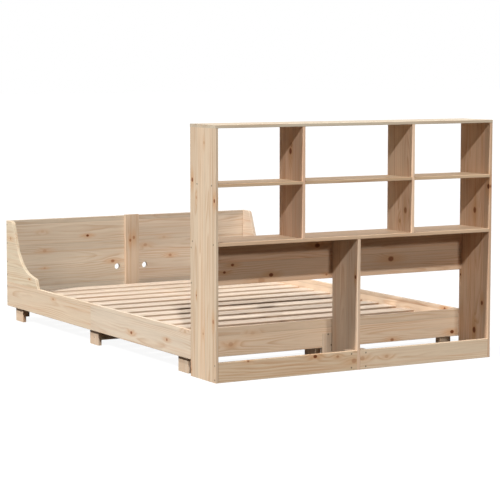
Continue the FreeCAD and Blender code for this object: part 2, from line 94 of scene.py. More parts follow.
# One knot, a branch cut across: an oval eye, darker wood beside it, and rings that bulge round it.
# For each of these, its stretch along the grain, and the distances from the knot's centre, in knot
# radii, at which it is none and full.
knot_effects = {"Eye": (1.3, 1.25, 0.6), "Halo": (3.4, 3.0, 0.5), "Bulge": (2.4, 3.4, 0.2)}
pine_knot, given, result = new_group("pine_knot", "ShaderNodeTree", [
    ("Place", "NodeSocketVector", None), ("Centre", "NodeSocketVector", None),
    ("Radius", "NodeSocketFloat", 6), ("Darkness", "NodeSocketFloat", 1),
    *[(label, "NodeSocketFloat", 0) for label in knot_effects]],
    [(label, "NodeSocketFloat") for label in knot_effects])
off_centre = add_node(pine_knot, "ShaderNodeVectorMath", {"operation": "SUBTRACT"},
                      {0: given.outputs["Place"], 1: given.outputs["Centre"]}).outputs[0]
# A faint knot, grown over or cut through its edge, still has most of its halo.
halo_power = 0.4
halo_strength = add_node(pine_knot, "ShaderNodeMath", {"operation": "POWER"},
                         {0: given.outputs["Darkness"], 1: halo_power}).outputs[0]
strengths = {"Eye": given.outputs["Darkness"], "Halo": halo_strength, "Bulge": given.outputs["Radius"]}
for label, (stretch, none_at, full_at) in knot_effects.items():
    oval = add_node(pine_knot, "ShaderNodeVectorMath", {"operation": "MULTIPLY"},
                    {0: off_centre, 1: (1 / stretch, 1, 0)}).outputs[0]
    distance = add_node(pine_knot, "ShaderNodeVectorMath", {"operation": "LENGTH"},
                        {0: oval}).outputs["Value"]
    in_radii = add_node(pine_knot, "ShaderNodeMath", {"operation": "DIVIDE"},
                        {0: distance, 1: given.outputs["Radius"]}).outputs[0]
    amount = add_node(pine_knot, "ShaderNodeMapRange", {"interpolation_type": "SMOOTHSTEP"},
                      {"Value": in_radii, "From Min": none_at, "From Max": full_at}).outputs[0]
    scaled = add_node(pine_knot, "ShaderNodeMath", {"operation": "MULTIPLY"},
                      {0: amount, 1: strengths[label]}).outputs[0]
    joined = add_node(pine_knot, "ShaderNodeMath",
                      {"operation": "ADD" if label == "Bulge" else "MAXIMUM"},
                      {0: scaled, 1: given.outputs[label]}).outputs[0]
    pine_knot.links.new(joined, result.inputs[label])

# Pine's figure in a board's own millimetres: X along the grain, Y across the staves, Z through the
# board. Real rings are 2 to 4 mm apart, under a pixel here, so they are drawn about 9 mm apart.
ring_spacing = 9.0
pine_figure, given, result = new_group("pine_figure", "ShaderNodeTree", [
    ("Place", "NodeSocketVector", None), ("Seed", "NodeSocketFloat", 0),
    ("Stave", "NodeSocketFloat", 70), ("Stave shift", "NodeSocketFloat", 0),
    ("Half length", "NodeSocketFloat", 1000), ("Knottiness", "NodeSocketFloat", 0.3),
    *[(label, "NodeSocketFloat", 0) for label in knot_effects],
    ("Early wood", "NodeSocketColor", (1, 1, 1, 1)), ("Late wood", "NodeSocketColor", (1, 1, 1, 1))],
    [("Colour", "NodeSocketColor"), ("Roughness", "NodeSocketFloat"), ("Height", "NodeSocketFloat")])
spot = add_node(pine_figure, "ShaderNodeSeparateXYZ", None, {0: given.outputs["Place"]})
# Staves: the board's width is cut into strips, each with its own number, tone and pith. The step
# between the numbers keeps the staves of all the boards apart.
number_step = 7.31
shifted = add_node(pine_figure, "ShaderNodeMath", {"operation": "ADD"},
                   {0: spot.outputs["Y"], 1: given.outputs["Stave shift"]}).outputs[0]
in_staves = add_node(pine_figure, "ShaderNodeMath", {"operation": "DIVIDE"},
                     {0: shifted, 1: given.outputs["Stave"]}).outputs[0]
stave_number = add_node(pine_figure, "ShaderNodeMath", {"operation": "FLOOR"},
                        {0: in_staves}).outputs[0]
stave_part = add_node(pine_figure, "ShaderNodeMath", {"operation": "FRACT"},
                      {0: in_staves}).outputs[0]
stave_key = add_node(pine_figure, "ShaderNodeMath", {"operation": "MULTIPLY_ADD"},
                     {0: stave_number, 1: number_step, 2: given.outputs["Seed"]}).outputs[0]
stave_draw = add_node(pine_figure, "ShaderNodeTexWhiteNoise", {"noise_dimensions": "1D"},
                      {"W": stave_key})
side_draw, depth_draw, taper_draw = add_node(
    pine_figure, "ShaderNodeSeparateColor", None, {0: stave_draw.outputs["Color"]}).outputs
# The pith lies 16 to 61 mm under the face and off to one side, so the rings rise in arches along
# the face. The trunk's taper, up to 35 mm in a metre either way, makes the arches.
pith_nearest, pith_range, taper_range = 16.0, 45.0, 0.07
off_pith = add_node(pine_figure, "ShaderNodeMath", {"operation": "SUBTRACT"},
                    {0: stave_part, 1: side_draw}).outputs[0]
across = add_node(pine_figure, "ShaderNodeMath", {"operation": "MULTIPLY"},
                  {0: off_pith, 1: given.outputs["Stave"]}).outputs[0]
pith_depth = add_node(pine_figure, "ShaderNodeMath", {"operation": "MULTIPLY_ADD"},
                      {0: depth_draw, 1: pith_range, 2: pith_nearest}).outputs[0]
through = add_node(pine_figure, "ShaderNodeMath", {"operation": "ADD"},
                   {0: spot.outputs["Z"], 1: pith_depth}).outputs[0]
to_pith = add_node(pine_figure, "ShaderNodeCombineXYZ", None, {0: across, 1: through}).outputs[0]
ring_radius = add_node(pine_figure, "ShaderNodeVectorMath", {"operation": "LENGTH"},
                       {0: to_pith}).outputs["Value"]
taper = add_node(pine_figure, "ShaderNodeMath", {"operation": "MULTIPLY_ADD"},
                 {0: taper_draw, 1: taper_range, 2: -taper_range / 2}).outputs[0]
ring_radius = add_node(pine_figure, "ShaderNodeMath", {"operation": "MULTIPLY_ADD"},
                       {0: spot.outputs["X"], 1: taper, 2: ring_radius}).outputs[0]
# Noises, all drawn out along the grain: the lean of the trunk, small waves, broad tone, fibres,
# where the rings fade, and reddish streaks. For each, its size along and across the grain, and
# its detail.
noises = {}
for label, along, sideways, detail in (("lean", 520, 95, 1), ("waves", 120, 24, 1),
                                       ("tone", 640, 38, 2), ("fibres", 70, 2.6, 2),
                                       ("fade", 380, 42, 1), ("streaks", 700, 13, 2)):
    squeezed = add_node(pine_figure, "ShaderNodeVectorMath", {"operation": "MULTIPLY"},
                        {0: given.outputs["Place"],
                         1: (1 / along, 1 / sideways, 1 / sideways)}).outputs[0]
    noises[label] = add_node(
        pine_figure, "ShaderNodeTexNoise", {"noise_dimensions": "4D"},
        {"Vector": squeezed, "W": stave_key, "Scale": 1.0, "Detail": detail}).outputs["Fac"]
# The lean and the waves push the rings aside by up to so many millimetres.
for label, reach in (("lean", 46.0), ("waves", 7.0)):
    ring_radius = add_node(pine_figure, "ShaderNodeMath", {"operation": "MULTIPLY_ADD"},
                           {0: noises[label], 1: reach, 2: ring_radius}).outputs[0]
# Small scattered knots: one in some of the cells of a loose net, 170 mm wide. Their radii are in
# cells, so 2 to 10 mm.
net_cell, smallest_knot, knot_range, scattered_darkness = 170, 0.012, 0.045, 0.9
net_shift = add_node(pine_figure, "ShaderNodeCombineXYZ", None,
                     {0: given.outputs["Seed"], 1: given.outputs["Seed"]}).outputs[0]
net_place = add_node(pine_figure, "ShaderNodeVectorMath", {"operation": "MULTIPLY_ADD"},
                     {0: given.outputs["Place"], 1: (1 / net_cell, 1 / net_cell, 0),
                      2: net_shift}).outputs[0]
net = add_node(pine_figure, "ShaderNodeTexVoronoi", {"voronoi_dimensions": "2D"},
               {"Vector": net_place, "Scale": 1.0})
chance_draw, size_draw, _ = add_node(
    pine_figure, "ShaderNodeSeparateColor", None, {0: net.outputs["Color"]}).outputs
has_knot = add_node(pine_figure, "ShaderNodeMath", {"operation": "LESS_THAN"},
                    {0: chance_draw, 1: given.outputs["Knottiness"]}).outputs[0]
knot_size = add_node(pine_figure, "ShaderNodeMath", {"operation": "MULTIPLY_ADD"},
                     {0: size_draw, 1: knot_range, 2: smallest_knot}).outputs[0]
knot_radii = add_node(pine_figure, "ShaderNodeMath", {"operation": "DIVIDE"},
                      {0: net.outputs["Distance"], 1: knot_size}).outputs[0]
masks = {}
for label, (_, none_at, full_at) in knot_effects.items():
    near = add_node(pine_figure, "ShaderNodeMapRange", {"interpolation_type": "SMOOTHSTEP"},
                    {"Value": knot_radii, "From Min": none_at, "From Max": full_at,
                     "To Max": scattered_darkness}).outputs[0]
    near = add_node(pine_figure, "ShaderNodeMath", {"operation": "MULTIPLY"},
                    {0: near, 1: has_knot}).outputs[0]
    masks[label] = add_node(pine_figure, "ShaderNodeMath", {"operation": "MAXIMUM"},
                            {0: near, 1: given.outputs[label]}).outputs[0]
# Round a knot that is placed, the rings are pushed out by up to 1.3 times its radius.
bulge_reach = 1.3
ring_radius = add_node(pine_figure, "ShaderNodeMath", {"operation": "MULTIPLY_ADD"},
                       {0: masks["Bulge"], 1: bulge_reach, 2: ring_radius}).outputs[0]
# Rings: each darkens slowly from early to late wood and ends at a sharp edge. In places they fade
# to an eighth of their strength.
early_wood_ends, late_wood_darkest = 0.30, 0.86
ring_count = add_node(pine_figure, "ShaderNodeMath", {"operation": "DIVIDE"},
                      {0: ring_radius, 1: ring_spacing}).outputs[0]
ring_part = add_node(pine_figure, "ShaderNodeMath", {"operation": "FRACT"},
                     {0: ring_count}).outputs[0]
late = add_node(pine_figure, "ShaderNodeValToRGB", None, {0: ring_part})
late.color_ramp.elements[0].position = early_wood_ends
late.color_ramp.elements[1].position = late_wood_darkest
late.color_ramp.elements.new(1.0).color = (0, 0, 0, 1)
ring_strength = add_node(pine_figure, "ShaderNodeMapRange", {"interpolation_type": "SMOOTHSTEP"},
                         {"Value": noises["fade"], "From Min": 0.38, "From Max": 0.66,
                          "To Min": 0.12}).outputs[0]
late_part = add_node(pine_figure, "ShaderNodeMath", {"operation": "MULTIPLY"},
                     {0: late.outputs[0], 1: ring_strength}).outputs[0]
grain_colour = add_node(pine_figure, "ShaderNodeMix", {"data_type": "RGBA"},
                        {share_of_b: late_part, colour_a: given.outputs["Early wood"],
                         colour_b: given.outputs["Late wood"]}).outputs[mixed]
# Streaks: thin reddish lines of resin, at most two fifths as strong as their full tint.
streak = add_node(pine_figure, "ShaderNodeMapRange", {"interpolation_type": "SMOOTHSTEP"},
                  {"Value": noises["streaks"], "From Min": 0.50, "From Max": 0.72,
                   "To Max": 0.38}).outputs[0]
grain_colour = add_node(pine_figure, "ShaderNodeMix",
                        {"data_type": "RGBA", "blend_type": "MULTIPLY"},
                        {share_of_b: streak, colour_a: grain_colour,
                         colour_b: linear("#E8C4A8")}).outputs[mixed]
# Level: how far the stave, the trunk and the fibres swing it, about 1 on average.
level_swings = ((stave_draw.outputs["Value"], 0.20), (noises["tone"], 0.26), (noises["fibres"], 0.20))
level = 1 - sum(swing for _, swing in level_swings) / 2
for source, swing in level_swings:
    level = add_node(pine_figure, "ShaderNodeMath", {"operation": "MULTIPLY_ADD"},
                     {0: source, 1: swing, 2: level}).outputs[0]
# Glue lines between staves, darkest within 0.4 mm of the joint and gone at 1.6 mm, and end grain,
# which drinks the lacquer and looks darker.
glue_line_level, end_grain_level = 0.80, 0.95
edge_part = add_node(pine_figure, "ShaderNodeMath", {"operation": "PINGPONG"},
                     {0: in_staves, 1: 0.5}).outputs[0]
edge_distance = add_node(pine_figure, "ShaderNodeMath", {"operation": "MULTIPLY"},
                         {0: edge_part, 1: given.outputs["Stave"]}).outputs[0]
glue_line = add_node(pine_figure, "ShaderNodeMapRange", {"interpolation_type": "SMOOTHSTEP"},
                     {"Value": edge_distance, "From Min": 0.4, "From Max": 1.6,
                      "To Min": glue_line_level}).outputs[0]
from_middle = add_node(pine_figure, "ShaderNodeMath", {"operation": "ABSOLUTE"},
                       {0: spot.outputs["X"]}).outputs[0]
from_end = add_node(pine_figure, "ShaderNodeMath", {"operation": "SUBTRACT"},
                    {0: given.outputs["Half length"], 1: from_middle}).outputs[0]
end_grain = add_node(pine_figure, "ShaderNodeMapRange", None,
                     {"Value": from_end, "From Min": 0.3, "From Max": 0.6,
                      "To Min": end_grain_level}).outputs[0]
for factor in (glue_line, end_grain):
    level = add_node(pine_figure, "ShaderNodeMath", {"operation": "MULTIPLY"},
                     {0: level, 1: factor}).outputs[0]
toned = add_node(pine_figure, "ShaderNodeVectorMath", {"operation": "SCALE"},
                 {0: grain_colour, "Scale": level}).outputs[0]
# Knots: a warm halo, and an eye that is reddish at its rim and dark brown in its middle.
halo_share, eye_full_at = 0.50, 0.8
warm_halo = add_node(pine_figure, "ShaderNodeMath", {"operation": "MULTIPLY"},
                     {0: masks["Halo"], 1: halo_share}).outputs[0]
toned = add_node(pine_figure, "ShaderNodeMix", {"data_type": "RGBA"},
                 {share_of_b: warm_halo, colour_a: toned, colour_b: linear("#C08A58")}).outputs[mixed]
eye_colour = add_node(pine_figure, "ShaderNodeValToRGB", None, {0: masks["Eye"]})
eye_colour.color_ramp.elements[0].color = linear("#AC7444")
eye_colour.color_ramp.elements.new(0.55).color = linear("#8A5432")
eye_colour.color_ramp.elements[2].color = linear("#6E4026")
eye_share = add_node(pine_figure, "ShaderNodeMapRange", None,
                     {"Value": masks["Eye"], "From Max": eye_full_at}).outputs[0]
coloured = add_node(pine_figure, "ShaderNodeMix", {"data_type": "RGBA"},
                    {share_of_b: eye_share, colour_a: toned,
                     colour_b: eye_colour.outputs[0]}).outputs[mixed]
pine_figure.links.new(coloured, result.inputs["Colour"])
# Finish: matt lacquer, which lies a little rougher on open fibres. Late wood stands proud of the
# planed face, and glue lines lie in it.
late_wood_height, glue_line_depth = 0.5, 1.5
rough = add_node(pine_figure, "ShaderNodeMapRange", None,
                 {"Value": noises["fibres"], "To Min": 0.48, "To Max": 0.66}).outputs[0]
pine_figure.links.new(rough, result.inputs["Roughness"])
relief = add_node(pine_figure, "ShaderNodeMath", {"operation": "MULTIPLY_ADD"},
                  {0: late_part, 1: late_wood_height, 2: noises["fibres"]}).outputs[0]
relief = add_node(pine_figure, "ShaderNodeMath", {"operation": "MULTIPLY_ADD"},
                  {0: glue_line, 1: glue_line_depth, 2: relief}).outputs[0]
pine_figure.links.new(relief, result.inputs["Height"])

mm_per_metre = 1000


def pine_material(name, low, high, grain, seed, stave=70, shift=0, knots=(), knottiness=0.3,
                  tone=(1, 1, 1), early="#D0BAA2", late_wood="#BFA084"):
    """Planed pine under matt clear lacquer, for one board between two corners, grain along one axis.

    Its knots are given as (place along the grain, place across, radius, darkness), in millimetres,
    and its tone as red, green and blue against the usual pine.
    """
    material = bpy.data.materials.new(name)
    material.use_nodes = True
    tree = material.node_tree
    tree.nodes.clear()
    size = high - low
    along = "xyz".index(grain)
    wide, thin = sorted((axis for axis in range(3) if axis != along), key=lambda axis: -size[axis])
    axes = (along, wide, thin)
    middle = [(low[axis] + high[axis]) / 2 * mm_per_metre for axis in axes]
    where = add_node(tree, "ShaderNodeTexCoord").outputs["Object"]
    parts = add_node(tree, "ShaderNodeSeparateXYZ", None, {0: where}).outputs
    turned = add_node(tree, "ShaderNodeCombineXYZ", None,
                      {n: parts[axis] for n, axis in enumerate(axes)}).outputs[0]
    spot = add_node(tree, "ShaderNodeVectorMath", {"operation": "MULTIPLY_ADD"},
                    {0: turned, 1: [mm_per_metre] * 3, 2: [-m for m in middle]}).outputs[0]
    marks = {}
    for at, beside, radius, darkness in knots:
        knot = add_node(tree, "ShaderNodeGroup", {"node_tree": pine_knot},
                        {"Place": spot, "Centre": (at - middle[0], beside - middle[1], 0),
                         "Radius": radius, "Darkness": darkness, **marks})
        marks = {label: knot.outputs[label] for label in knot_effects}
    colours = {label: [level * share for level, share in zip(linear(code), (*tone, 1))]
               for label, code in (("Early wood", early), ("Late wood", late_wood))}
    figure = add_node(tree, "ShaderNodeGroup", {"node_tree": pine_figure},
                      {"Place": spot, "Seed": seed, "Stave": stave, "Stave shift": shift,
                       "Half length": size[along] / 2 * mm_per_metre, "Knottiness": knottiness,
                       **colours, **marks})
    relief = add_node(tree, "ShaderNodeBump", None,
                      {"Strength": 0.25, "Distance": 0.0003, "Height": figure.outputs["Height"]})
    surface = add_node(tree, "ShaderNodeBsdfPrincipled", None,
                       {"Base Color": figure.outputs["Colour"],
                        "Roughness": figure.outputs["Roughness"],
                        "Normal": relief.outputs[0], "IOR": 1.5, "Specular IOR Level": 0.10})
    add_node(tree, "ShaderNodeOutputMaterial", None, {"Surface": surface.outputs[0]})
    return material


def finish_board(name, grain, seed, slot_name, **wood):
    """Give one board of the frame its own piece of pine. Its slot_name is not used."""
    low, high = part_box(name)
    nodes[name].data.materials.clear()
    nodes[name].data.materials.append(pine_material("pine_" + name, low, high, grain, seed, **wood))


# Knots that the photograph shows on the outer face: (height, depth, radius, darkness).
finish_board("bookcase_side_left", "z", 3.1, "bookcase_pine", stave=68, shift=20, knottiness=0.0,
             tone=(1.03, 1.05, 1.04), knots=(
                 (863, -953, 8, 0.9), (788, -990, 6, 0.35), (783, -1152, 7, 0.9),
                 (1027, -1061, 6, 0.3), (362, -988, 4, 0.8), (264, -1140, 8, 0.5),
                 (201, -1049, 5, 0.4), (28, -931, 9, 0.8), (619, -928, 6, 0.6)))
finish_board("bookcase_side_right", "z", 8.4, "bookcase_pine", stave=66, shift=11, knottiness=0.0,
             tone=(1.03, 0.92, 0.85), knots=(
                 (681, -1051, 12, 0.75), (798, -1154, 10, 1.0), (250, -1115, 9, 0.8),
                 (116, -1057, 12, 0.95), (367, -944, 5, 1.0)))

# Top board, long shelf, short shelves and dividers: planed pine with eased edges, their grain
# along their length. The short shelves are thinner, and ride on screws and dowels.
# The top board's tone, paler and bluer than the usual pine, is painted sheen for the white its top
# reflects at a grazing view.
finish_board("bookcase_top", "x", 12.7, "bookcase_pine", stave=58, shift=4, knottiness=0.25,
             tone=(0.95, 1.05, 1.10))
finish_board("long_shelf", "x", 17.3, "bookcase_pine", stave=64, shift=30, knottiness=0.25,
             tone=(0.98, 0.91, 0.83))
for name, seed in (("short_shelf_left", 21.9), ("short_shelf_middle", 26.6),
                   ("short_shelf_right", 31.3)):
    finish_board(name, "x", seed, "bookcase_pine", stave=66, shift=9, knottiness=0.2,
                 tone=(0.96, 0.90, 0.80))
finish_board("upper_divider_left", "z", 37.2, "bookcase_pine", stave=62, shift=15, knottiness=0.0,
             tone=(1.09, 0.97, 0.92), knots=((981, -1058, 12, 0.8), (1008, -1066, 9, 0.45)))
finish_board("upper_divider_right", "z", 41.8, "bookcase_pine", stave=66, shift=25, knottiness=0.0,
             tone=(1.25, 1.19, 1.16), knots=((701, -1110, 12, 0.6), (650, -1065, 8, 0.35)))
finish_board("lower_divider", "z", 46.1, "bookcase_pine", stave=64, shift=18, knottiness=0.1,
             tone=(1.13, 1.12, 1.13), knots=((416, -1144, 7, 0.9),))

# Rear board and plinth: planed pine. The rear board closes the back under the long shelf, and the
# plinth boards stand on the floor between the sides and the lower divider, screwed to short
# cleats.
finish_board("rear_board", "x", 52.6, "bookcase_pine", stave=97, shift=0, knottiness=0.0,
             tone=(1.09, 0.97, 0.89), knots=(
                 (-330, 425, 9, 1.0), (-527, 480, 7, 0.8), (-568, 449, 6, 0.9), (312, 463, 13, 0.75),
                 (-88, 545, 11, 0.8), (-39, 410, 5, 0.6), (-380, 402, 14, 0.3)))
finish_board("plinth_left", "x", 57.4, "bookcase_pine", stave=110, shift=55, knottiness=0.0,
             tone=(0.91, 0.89, 0.83), knots=(
                 (-111, 69, 6, 0.45), (-228, 78, 8, 1.0), (-24, 43, 11, 0.4), (-568, 84, 5, 0.6)))
finish_board("plinth_right", "x", 63.8, "bookcase_pine", stave=110, shift=55, knottiness=0.0,
             tone=(1.10, 1.12, 1.10), knots=((20, 50, 10, 0.3), (150, 49, 8, 0.25)))
finish_board("plinth_cleats", "z", 66.2, "bookcase_pine", stave=120, shift=60)

# Rails: pine boards on edge, glued up from two staves. The side rails come in two halves that
# meet at the middle legs, and a post is let into the back of the foot rail, flush with its face.
finish_board("foot_post", "z", 71.5, "rail_pine", stave=120, shift=60, knottiness=0.2)
finish_board("foot_rail", "x", 75.9, "rail_pine", stave=92, shift=64, knottiness=0.0,
             tone=(1.05, 1.03, 1.00), knots=(
                 (676, 94, 9, 1.0), (334, 81, 8, 0.6), (-526, 125, 10, 0.3), (-415, 166, 9, 0.12)))
finish_board("side_rail_left_foot", "y", 81.3, "rail_pine", stave=111, shift=65, knottiness=0.0,
             tone=(1.11, 1.19, 1.26), knots=(
                 (-342, 116, 8, 0.8), (-704, 130, 7, 0.6), (-880, 190, 8, 0.2)))
finish_board("side_rail_left_head", "y", 86.7, "rail_pine", stave=111, shift=65, knottiness=0.0,
             tone=(0.99, 1.02, 1.02), knots=((556, 173, 6, 0.5),))
finish_board("side_rail_right_foot", "y", 92.1, "rail_pine", stave=111, shift=65, knottiness=0.0,
             knots=((-824, 190, 7, 0.9),))
finish_board("side_rail_right_head", "y", 97.6, "rail_pine", stave=111, shift=65, knottiness=0.2)
finish_board("corner_cleats", "z", 101.3, "rail_pine", stave=120, shift=60)

# Legs, blocks, beams and battens: plain planed pine under the slats, screwed to the rails and to
# each other, and mostly out of sight.
supports = {
    "z": ("leg_left_foot", "leg_left_mid", "leg_left_head", "leg_right_foot", "leg_right_mid",
          "leg_right_head", "leg_blocks", "centre_leg_foot", "centre_leg_mid", "centre_leg_head"),
    "x": ("cross_beam",),
    "y": ("centre_beam_foot", "centre_beam_head", "slat_batten_left_foot", "slat_batten_left_head",
          "slat_batten_right_foot", "slat_batten_right_head"),
}
first_seed, seed_step = 107.7, 3.9
for grain, names in supports.items():
    for number, name in enumerate(names):
        finish_board(name, grain, first_seed + seed_step * number, "support_pine", stave=140, shift=70)

# Headboard: two pine panels glued up from broad staves, each with a hole for a lamp lead, and a
# strip screwed over their seam that runs down to the floor.
finish_board("headboard_panel_left", "x", 151.2, "headboard_pine", stave=112, shift=20,
             knottiness=0.0, tone=(0.95, 1.02, 1.07), knots=(
                 (-262, 427, 7, 0.9), (-112, 280, 9, 0.6), (-516, 356, 9, 0.25), (-517, 262, 5, 0.3),
                 (-528, 462, 8, 0.15)))
finish_board("headboard_panel_right", "x", 157.8, "headboard_pine", stave=112, shift=20,
             knottiness=0.0, tone=(0.88, 0.93, 0.98), knots=(
                 (242, 295, 8, 0.45), (88, 359, 9, 0.3), (204, 398, 8, 0.15)))
finish_board("headboard_strip", "z", 163.4, "headboard_pine", stave=120, shift=60, knottiness=0.0,
             tone=(0.96, 0.95, 0.94), knots=((391, -13, 7, 0.6), (405, 9, 8, 0.5)))

# Wings: pine boards sawn to a curve, which stand dowelled on the side rails beside the headboard,
# with their grain along the bed and every sawn edge eased.
finish_board("wing_left", "y", 171.9, "headboard_pine", stave=124, shift=78, knottiness=0.0,
             tone=(1.05, 1.13, 1.13), knots=((1106, 436, 8, 0.4), (857, 244, 4, 1.0)))
finish_board("wing_right", "y", 176.3, "headboard_pine", stave=124, shift=78, knottiness=0.0,
             tone=(0.97, 1.00, 1.05))

# Slats: thirteen pine boards, planed on top but not lacquered, so paler than the rest. Each lies on
# the battens and is held by one countersunk screw at either end.
slat_edge_round, edge_points, slat_screw_inset = 0.002, 4, 0.012
screw_shank_diameter, screw_head_height = 0.004, 0.0025
slat_row, given, result = new_group("slat_row", "GeometryNodeTree", [
    ("Length", "NodeSocketFloat", None), ("Width", "NodeSocketFloat", None),
    ("Thickness", "NodeSocketFloat", None), ("Edge round", "NodeSocketFloat", None),
    ("Count", "NodeSocketInt", None), ("Pitch", "NodeSocketFloat", None),
    ("First", "NodeSocketVector", None), ("Screw spacing", "NodeSocketFloat", None),
    ("Hole diameter", "NodeSocketFloat", None), ("Countersink", "NodeSocketFloat", None),
    ("Wood", "NodeSocketMaterial", None)], [("Geometry", "NodeSocketGeometry")])
section = add_node(slat_row, "GeometryNodeCurvePrimitiveQuadrilateral", None,
                   {"Width": given.outputs["Width"], "Height": given.outputs["Thickness"]}).outputs[0]
section = add_node(slat_row, "GeometryNodeFilletCurve", {"mode": "POLY"},
                   {"Curve": section, "Radius": given.outputs["Edge round"],
                    "Count": edge_points}).outputs[0]
half_length = add_node(slat_row, "ShaderNodeMath", {"operation": "MULTIPLY"},
                       {0: given.outputs["Length"], 1: 0.5}).outputs[0]
far_end = add_node(slat_row, "ShaderNodeCombineXYZ", None, {"X": half_length}).outputs[0]
near_end = add_node(slat_row, "ShaderNodeVectorMath", {"operation": "SCALE"},
                    {0: far_end, "Scale": -1.0}).outputs[0]
middle_line = add_node(slat_row, "GeometryNodeCurvePrimitiveLine", None,
                       {"Start": near_end, "End": far_end}).outputs[0]
plank = add_node(slat_row, "GeometryNodeCurveToMesh", None,
                 {"Curve": middle_line, "Profile Curve": section, "Fill Caps": True}).outputs[0]
# The cutter for one screw hole: a countersink that opens upwards on a straight hole. The drill is
# longer than any slat is thick. The bit goes on past the face at the same slope, to three times
# the hole's radius, so it cuts the face where the head ends.
hole_sides, drill_length, bit_widening, bit_lengthening = 16, 0.04, 3.0, 2.0
shank_radius = add_node(slat_row, "ShaderNodeMath", {"operation": "MULTIPLY"},
                        {0: given.outputs["Hole diameter"], 1: 0.5}).outputs[0]
drill = add_node(slat_row, "GeometryNodeMeshCylinder", None,
                 {"Vertices": hole_sides, "Radius": shank_radius, "Depth": drill_length}).outputs[0]
rise = add_node(slat_row, "ShaderNodeMath", {"operation": "MULTIPLY"},
                {0: given.outputs["Thickness"], 1: 0.5}).outputs[0]
bit_base = add_node(slat_row, "ShaderNodeMath", {"operation": "SUBTRACT"},
                    {0: rise, 1: given.outputs["Countersink"]}).outputs[0]
bit_place = add_node(slat_row, "ShaderNodeCombineXYZ", None, {"Z": bit_base}).outputs[0]
bit_top = add_node(slat_row, "ShaderNodeMath", {"operation": "MULTIPLY"},
                   {0: shank_radius, 1: bit_widening}).outputs[0]
bit_height = add_node(slat_row, "ShaderNodeMath", {"operation": "MULTIPLY"},
                      {0: given.outputs["Countersink"], 1: bit_lengthening}).outputs[0]
bit = add_node(slat_row, "GeometryNodeMeshCone", None,
               {"Vertices": hole_sides, "Radius Top": bit_top, "Radius Bottom": shank_radius,
                "Depth": bit_height}).outputs[0]
bit = add_node(slat_row, "GeometryNodeTransform", None,
               {"Geometry": bit, "Translation": bit_place}).outputs[0]
screw_place = add_node(slat_row, "ShaderNodeMath", {"operation": "MULTIPLY"},
                       {0: given.outputs["Screw spacing"], 1: 0.5}).outputs[0]
screw_far = add_node(slat_row, "ShaderNodeCombineXYZ", None, {"X": screw_place}).outputs[0]
screw_near = add_node(slat_row, "ShaderNodeVectorMath", {"operation": "SCALE"},
                      {0: screw_far, "Scale": -1.0}).outputs[0]
drilled = add_node(slat_row, "GeometryNodeMeshBoolean",
                   {"operation": "DIFFERENCE", "solver": "EXACT"}, {"Mesh 1": plank})
for place in (screw_far, screw_near):
    for tool in (drill, bit):
        cutter = add_node(slat_row, "GeometryNodeTransform", None,
                          {"Geometry": tool, "Translation": place}).outputs[0]
        slat_row.links.new(cutter, drilled.inputs["Mesh 2"])
step = add_node(slat_row, "ShaderNodeCombineXYZ", None, {"Y": given.outputs["Pitch"]}).outputs[0]
places = add_node(slat_row, "GeometryNodeMeshLine", None,
                  {"Count": given.outputs["Count"], "Start Location": given.outputs["First"],
                   "Offset": step}).outputs[0]
row = add_node(slat_row, "GeometryNodeInstanceOnPoints", None,
               {"Points": places, "Instance": drilled.outputs[0]}).outputs[0]
row = add_node(slat_row, "GeometryNodeRealizeInstances", None, {0: row}).outputs[0]
row = add_node(slat_row, "GeometryNodeSetMaterial", None,
               {"Geometry": row, "Material": given.outputs["Wood"]}).outputs[0]
slat_row.links.new(row, result.inputs[0])


def grow(name, tree, start, values):
    """Run a Geometry Nodes tree on a mesh, and keep what it makes as a plain mesh object."""
    sharper_than = math.radians(35)
    maker = bpy.data.objects.new(name + "_maker", start)
    bpy.context.scene.collection.objects.link(maker)
    modifier = maker.modifiers.new("grow", "NODES")
    modifier.node_group = tree
    for item in tree.interface.items_tree:
        if item.in_out == "INPUT" and item.name in values:
            modifier[item.identifier] = values[item.name]
    evaluated = maker.evaluated_get(bpy.context.evaluated_depsgraph_get())
    mesh = bpy.data.meshes.new_from_object(evaluated)
    bpy.data.objects.remove(maker)
    mesh.name = name
    mesh.shade_smooth()
    mesh.set_sharp_from_angle(angle=sharper_than)
    made = bpy.data.objects.new(name, mesh)
    bpy.context.scene.collection.objects.link(made)
    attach(made, "root")
    return made


slat_names = sorted(name for name in nodes if name.removeprefix("slat_").isdigit())
first_low, first_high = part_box(slat_names[0])
last_low, last_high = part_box(slat_names[-1])
slat_size = first_high - first_low
slat_pitch = (last_low.y - first_low.y) / (len(slat_names) - 1)
row_depth = last_high.y - first_low.y
# The grid of staves is one slat wide at the slats' pitch, so each slat is its own piece of wood.
slat_wood = pine_material(
    "bare_pine_slats", first_low, last_high, "x", 191.4, stave=slat_pitch * mm_per_metre,
    shift=(row_depth + slat_pitch - slat_size.y) / 2 * mm_per_metre,
    knottiness=0.0, tone=(0.83, 0.83, 0.87), early="#E4D2BB", late_wood="#D3BA9C")
